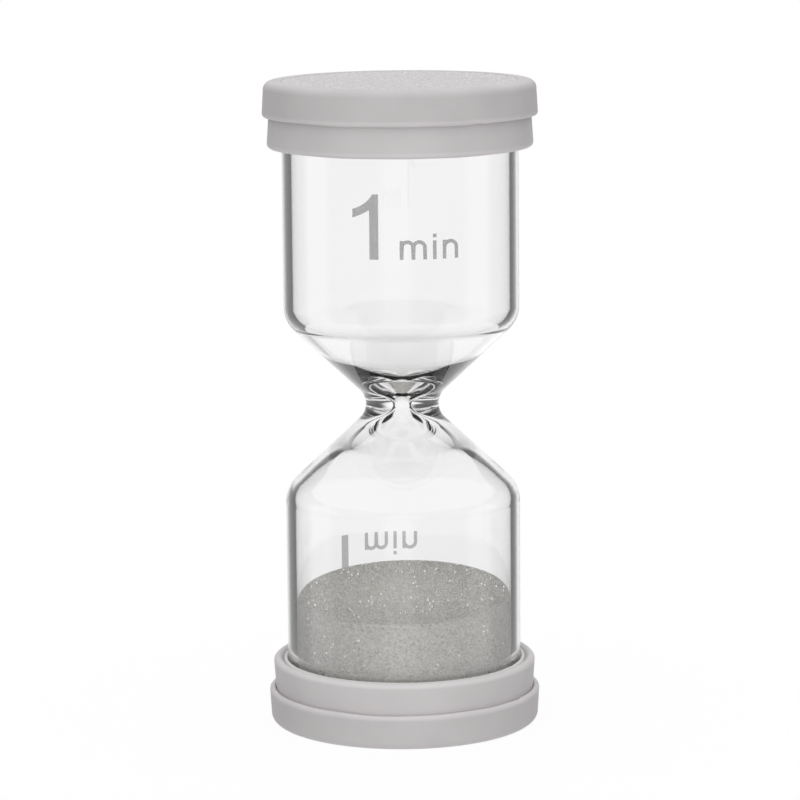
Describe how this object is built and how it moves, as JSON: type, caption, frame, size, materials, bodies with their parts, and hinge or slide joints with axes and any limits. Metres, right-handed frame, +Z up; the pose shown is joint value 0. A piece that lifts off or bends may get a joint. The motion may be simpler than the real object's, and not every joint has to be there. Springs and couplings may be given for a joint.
{
  "type": "sand timer",
  "caption": "Free-standing sand timer: a waisted glass tube with sand in its lower bulb, closed by stoppers and held between two round stepped end caps with grip pads.",
  "frame": {"origin": "centre of the lower end face, on the surface that the timer stands on", "axes": "+Z up along the glass's axis; -Y is the front, where the picture looks from"},
  "size_m": [0.04, 0.04, 0.0946],
  "materials": {
    "glass": "polished",
    "sand": "matte",
    "grip_pad": "matte",
    "cover": "matte",
    "inner_cap": "matte",
    "gasket": "matte",
    "stopper": "matte"
  },
  "bodies": {
    "timer": {"glass_body": "glass", "lower_grip_pad": "grip_pad", "lower_cover": "cover", "lower_inner_cap": "inner_cap", "lower_gasket": "gasket", "lower_stopper": "stopper", "upper_grip_pad": "grip_pad", "upper_cover": "cover", "upper_inner_cap": "inner_cap", "upper_gasket": "gasket", "upper_stopper": "stopper"},
    "sand": {"sand_fill": "sand"}
  },
  "joints": [
    {"name": "sand_shift", "type": "slide", "parent": "timer", "child": "sand", "axis": [0, 0, 1], "range_m": [0, 0.012]}
  ]
}
